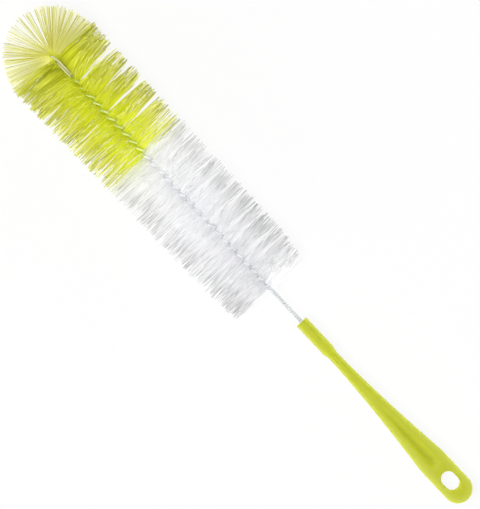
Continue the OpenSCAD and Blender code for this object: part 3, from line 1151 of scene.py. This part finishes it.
@dataclass
class Handle:
    """Moulded handle: socket, neck, and a paddle with a thumb groove and a hanging hole.

    Distances along it go from the socket's mouth towards the round end of the paddle.
    """

    stem: StemLine
    length: float = 146.1 * MM
    socket_radius: float = 4 * MM
    socket_length: float = 23 * MM
    socket_rim: float = 0.7 * MM
    step_length: float = 4.9 * MM
    step_straight: float = 0.65
    bore_radius: float = 1.465 * MM
    bore_rings: tuple[float, ...] = (34.3 * MM, 20 * MM, 6 * MM, 0.3 * MM)
    lip: float = 0.25 * MM
    rim_lip: float = 0.2 * MM
    neck_diameter: float = 6.2 * MM
    paddle_width: float = 18 * MM
    paddle_thickness: float = 7 * MM
    paddle_length: float = 32.4 * MM
    grip_power: float = 1.55
    grip_blend: float = 0.07
    paddle_fullness: float = 3.0
    groove_length: float = 62 * MM
    groove_end: float = 119.7 * MM
    groove_width: float = 8.4 * MM
    groove_start_width: float = 3 * MM
    groove_depth: float = 1.65 * MM
    groove_ease: float = 0.9
    groove_runout: float = 7 * MM
    hole_middle: float = 130.5 * MM
    hole_width: float = 9 * MM
    hole_length: float = 12.4 * MM
    hole_round: float = 0.9 * MM
    hole_flare: float = 0.6 * MM
    hole_past: float = 1 * MM
    hole_sides: int = 40
    hole_rings: int = 8
    barrel_lead: float = 2 * MM
    barrel_margin: float = 0.8 * MM
    barrel_step: float = 3 * MM
    slope_past: float = 1.2 * MM
    slope_step: float = 0.4 * MM
    grip_lead: float = 2 * MM
    grip_step: float = 0.8 * MM
    rim_rings: int = 7
    end_rings: int = 22
    end_turn: tuple[float, float] = (0.04, 0.985)
    sides: int = 96
    # Where the painted rim light begins, as a share of the half width, and over what share it grows
    rim_light_start: float = 0.35
    rim_light_span: float = 0.55
    finish: MouldedPolypropylene = MouldedPolypropylene()

    @property
    def mouth_x(self) -> float:
        """Place of the socket's mouth along X."""
        return self.stem.rear_x - self.stem.bare_length

    @property
    def grip_start(self) -> float:
        """Distance from the mouth to the start of the neck."""
        return self.socket_length + self.step_length

    @property
    def arc_start(self) -> float:
        """Distance from the mouth to the start of the round end."""
        return self.length - self.paddle_width / 2

    @property
    def angles(self) -> Array:
        """Angles of a ring's points."""
        return 2 * math.pi * np.arange(self.sides) / self.sides

    def grip_share(self, h: float) -> float:
        """Finds how far the section has gone from the neck's to the paddle's.

        Args:
            h: Distance from the mouth.

        Returns:
            Share of the way, which eases into 1.
        """
        span = self.length - self.paddle_length - self.grip_start
        g = max(0.0, (h - self.grip_start) / span) ** self.grip_power
        over = g - 1 + self.grip_blend
        if over < 0:
            return g
        return 1.0 if over > 2 * self.grip_blend else g - over * over / (4 * self.grip_blend)

    def groove(self, h: float, y: Array) -> Array:
        """Finds the depth of the thumb groove.

        Args:
            h: Distance from the mouth.
            y: Places across.

        Returns:
            Depths below the full oval, 0 outside the groove.
        """
        along = (h - self.groove_end + self.groove_length) / self.groove_length
        runout = smooth((self.groove_end - h) / self.groove_runout)
        depth = self.groove_depth * smooth(along / self.groove_ease) * runout
        half = lerp(self.groove_start_width, self.groove_width, min(1.0, max(0.0, along))) / 2
        return depth * np.cos(math.pi / 2 * np.clip(np.abs(y) / half, 0, 1)) ** 2

    def round_ring(self, h: float, radius: float) -> Array:
        """Ring of the socket or bore: a circle at distance h from the mouth."""
        x = np.full(self.sides, self.mouth_x - h)
        return np.stack([x, radius * np.cos(self.angles), radius * np.sin(self.angles)], axis=1)

    def grip_ring(self, h: float) -> Array:
        """Builds a ring of the neck or paddle: a full oval, hollowed by the groove.

        Args:
            h: Distance from the mouth.

        Returns:
            Its points, one to a row.
        """
        share = self.grip_share(h)
        full = lerp(2.0, self.paddle_fullness, share)
        half_width = lerp(self.neck_diameter, self.paddle_width, share) / 2
        half_height = lerp(self.neck_diameter, self.paddle_thickness, share) / 2
        c, s = np.cos(self.angles), np.sin(self.angles)
        u = np.sign(c) * np.abs(c) ** (2 / full)
        if h < self.arc_start:
            y = half_width * u
            z = half_height * np.abs(s) ** (2 / full)
        else:
            radius = self.paddle_width / 2
            ahead = min(1.0, (h - self.arc_start) / radius)
            y = radius * math.sqrt(1 - ahead**2) * u
            rim = np.clip(np.hypot(ahead, y / radius), 0, 1)
            z = half_height * (1 - rim**full) ** (1 / full)
        z = np.sign(s) * (z - self.groove(h, y))
        return np.stack([np.full(self.sides, self.mouth_x - h), y, z], axis=1)

    def rings(self) -> list[Array]:
        """Lists the rings from the bottom of the bore, out of the mouth and on to the round end.

        Returns:
            The rings, with equally many points.
        """
        edge, radius = self.socket_rim, self.socket_radius
        rim = np.linspace(0, math.pi / 2, self.rim_rings)
        barrel_end = self.socket_length - self.barrel_margin
        slope_start = self.socket_length - self.slope_step
        slope = places(slope_start, self.grip_start + self.slope_past, self.slope_step)
        # The step between socket and neck goes down partly straight and partly eased
        t = np.clip((slope - self.socket_length) / self.step_length, 0, 1)
        gone = self.step_straight * t + (1 - self.step_straight) * smooth(t)
        round_rings = [
            *((h, self.bore_radius) for h in self.bore_rings),
            (0.0, self.bore_radius + self.lip),
            (0.0, radius - edge - self.rim_lip),
            *((edge * (1 - math.cos(a)), radius - edge * (1 - math.sin(a))) for a in rim),
            *((h, radius) for h in places(self.barrel_lead, barrel_end, self.barrel_step)),
            *zip(slope, lerp(radius, self.neck_diameter / 2, gone)),
        ]
        end = np.linspace(*self.end_turn, self.end_rings) * math.pi / 2
        grip_rings = [
            *places(self.grip_start + self.grip_lead, self.arc_start, self.grip_step),
            *(self.arc_start + self.paddle_width / 2 * math.sin(a) for a in end),
        ]
        made = [self.round_ring(h, size) for h, size in round_rings]
        return made + [self.grip_ring(h) for h in grip_rings]

    def cutter(self) -> Object:
        """Builds the solid that cuts the hanging hole and rounds both its rims.

        Returns:
            The solid, a slot with round ends that widens at both faces.
        """
        half = self.paddle_thickness / 2
        flare = [
            (half - self.hole_round * (1 - math.sin(a)), self.hole_round * (1 - math.cos(a)))
            for a in np.linspace(0, math.pi / 2, self.hole_rings)
        ]
        flare.append((half + self.hole_past, self.hole_round + self.hole_flare))
        levels = [(-z, grow) for z, grow in reversed(flare)] + flare
        straight = (self.hole_length - self.hole_width) / 2
        last = self.hole_sides - 1
        turns = [math.pi * k / last - math.pi / 2 for k in range(self.hole_sides)]
        round_trip = [(straight, a) for a in turns] + [(-straight, a + math.pi) for a in turns]
        rings = []
        for z, grow in levels:
            r = self.hole_width / 2 + grow
            rings.append([(r * math.cos(a) + x, r * math.sin(a), z) for x, a in round_trip])
        shift = (self.mouth_x - self.hole_middle, 0, self.stem.height)
        return loft("hole_cutter", rings, shift)

    def rim_light_share(self, point: Vector) -> float:
        """Finds how far out towards the rim a point of the surface lies.

        Args:
            point: The point.

        Returns:
            A share from 0 in the middle to 1 at the rim.
        """
        h = self.mouth_x - point[0]
        if h < self.grip_start:
            share = np.clip((h - self.socket_length) / self.step_length, 0, 1)
            half = lerp(self.socket_radius, self.neck_diameter / 2, share)
        else:
            half = lerp(self.neck_diameter, self.paddle_width, self.grip_share(h)) / 2
        ahead = max(0.0, h - self.arc_start)
        out = math.hypot(ahead, point[1]) / half
        return float(smooth((out - self.rim_light_start) / self.rim_light_span))

    def build(self) -> None:
        """Lofts the handle, cuts its hole and fixes it in place of its CAD node."""
        piece = loft("moulded_handle", self.rings(), (0, 0, self.stem.height))
        cutter = self.cutter()
        cut = piece.modifiers.new("hole", "BOOLEAN")
        cut.operation = "DIFFERENCE"
        cut.solver = "EXACT"
        cut.object = cutter
        whole = evaluated_mesh(piece)
        piece.modifiers.remove(cut)
        piece.data = whole
        bpy.data.objects.remove(cutter)
        # Share of the painted rim light at each point of the surface
        thin = whole.attributes.new("thin", "FLOAT", "POINT")
        thin.data.foreach_set("value", [self.rim_light_share(v.co) for v in whole.vertices])
        whole.materials.clear()
        whole.materials.append(self.finish.material())
        whole.shade_smooth()
        mount(piece, "lime_polypropylene", "handle")


# ---- Studio ----


@dataclass(frozen=True)
class Lamp:
    """Soft square lamp that looks at the middle of the brush."""

    name: str
    place: tuple[float, float, float]
    size: float
    watts: float

    def build(self, aim: Vector) -> None:
        """Adds the lamp.

        Args:
            aim: Point that it looks at.
        """
        data = bpy.data.lights.new(self.name, "AREA")
        data.size = self.size
        data.energy = self.watts
        lamp = new_object(self.name, data)
        lamp.location = self.place
        lamp.rotation_euler = (aim - Vector(self.place)).to_track_quat("-Z", "Y").to_euler()


@dataclass(frozen=True)
class Studio:
    """Plain white table under soft light, seen from straight above."""

    centre: tuple[float, float, float] = (3.9 * MM, -0.7 * MM, 28 * MM)
    field_height: float = 305.4 * MM
    turn: float = math.radians(-133.13)
    lens: float = 240.0
    sensor: float = 36.0
    floor_size: float = 6.0
    board: str = "#F4F4F4"
    whiteness: float = 0.85
    sky: float = 0.15
    ring: float = 5.0
    ring_height: float = 0.5
    lamps: tuple[Lamp, ...] = (
        Lamp("key", (0.03, 0.16, 1.35), 0.3, 9.8),
        Lamp("fill", (-0.1, 0.8, 0.8), 0.6, 1.0),
    )

    def camera(self) -> None:
        """Sets the camera straight above, with the tip of the brush at the upper left."""
        data = bpy.data.cameras.new("camera")
        data.lens = self.lens
        data.sensor_width = self.sensor
        camera = new_object("camera", data)
        x, y, z = self.centre
        camera.location = (x, y, z + self.field_height * self.lens / self.sensor)
        camera.rotation_euler = (0, 0, self.turn)
        bpy.context.scene.camera = camera

    def seen_directly(self, put: Put) -> Node:
        """Adds nodes that tell whether a ray comes from the camera, a reflection or clear matter.

        Args:
            put: Function that adds a node.

        Returns:
            A node that gives 1 for such a ray and 0 for any other.
        """
        path = put("ShaderNodeLightPath").outputs
        seen: object = path["Is Camera Ray"]
        for kind in ("Is Glossy Ray", "Is Transmission Ray"):
            seen = put("ShaderNodeMath", {0: seen, 1: path[kind]}, operation="MAXIMUM")
        return seen

    def world(self) -> None:
        """Lights the scene from all round, most from low down, and shows white where it is bare."""
        world = bpy.data.worlds.new("studio")
        bpy.context.scene.world = world
        world.use_nodes = True
        world.node_tree.nodes.clear()
        put = partial(add, world.node_tree)
        way = put("ShaderNodeTexCoord").outputs["Generated"]
        height = put("ShaderNodeSeparateXYZ", {0: way}).outputs["Z"]
        levels = {0: height, 2: self.ring_height, 3: self.ring, 4: self.sky}
        glow = put("ShaderNodeMapRange", levels)
        shown = {0: self.seen_directly(put), 2: glow, 3: 1.0}
        strength = put("ShaderNodeMix", shown, **NUMBER)
        sky = put("ShaderNodeBackground", {"Color": (1, 1, 1, 1), "Strength": strength})
        put("ShaderNodeOutputWorld", {"Surface": sky})

    def floor(self) -> None:
        """Lays the white table that the brush lies on, which keeps its faint shadow."""
        material, put = new_material("matt white board")
        board = put("ShaderNodeBsdfDiffuse", {"Color": linear(self.board)})
        white = put("ShaderNodeEmission", {"Color": (1, 1, 1, 1), "Strength": 1.0})
        lit = {0: self.seen_directly(put), 1: self.whiteness}
        share = put("ShaderNodeMath", lit, operation="MULTIPLY")
        mixed = put("ShaderNodeMixShader", {0: share, 1: board, 2: white})
        put("ShaderNodeOutputMaterial", {"Surface": mixed})
        half = self.floor_size / 2
        corners = [(-half, -half, 0), (half, -half, 0), (half, half, 0), (-half, half, 0)]
        mesh = bpy.data.meshes.new("table")
        mesh.from_pydata(corners, [], [(0, 1, 2, 3)])
        mesh.materials.append(material)
        table = new_object("table", mesh)

    def build(self) -> None:
        """Sets up camera, light and table."""
        self.camera()
        self.world()
        self.floor()
        for lamp in self.lamps:
            lamp.build(Vector(self.centre))
        bpy.context.scene.view_settings.view_transform = "Standard"


def main() -> None:
    """Builds the scene, piece by piece."""
    logging.basicConfig(level=logging.INFO, format="%(message)s")
    Studio().build()
    stem = StemLine()
    WirePair(stem).build()
    BrushHead(stem).build()
    Handle(stem).build()


if __name__ == "__main__":
    main()
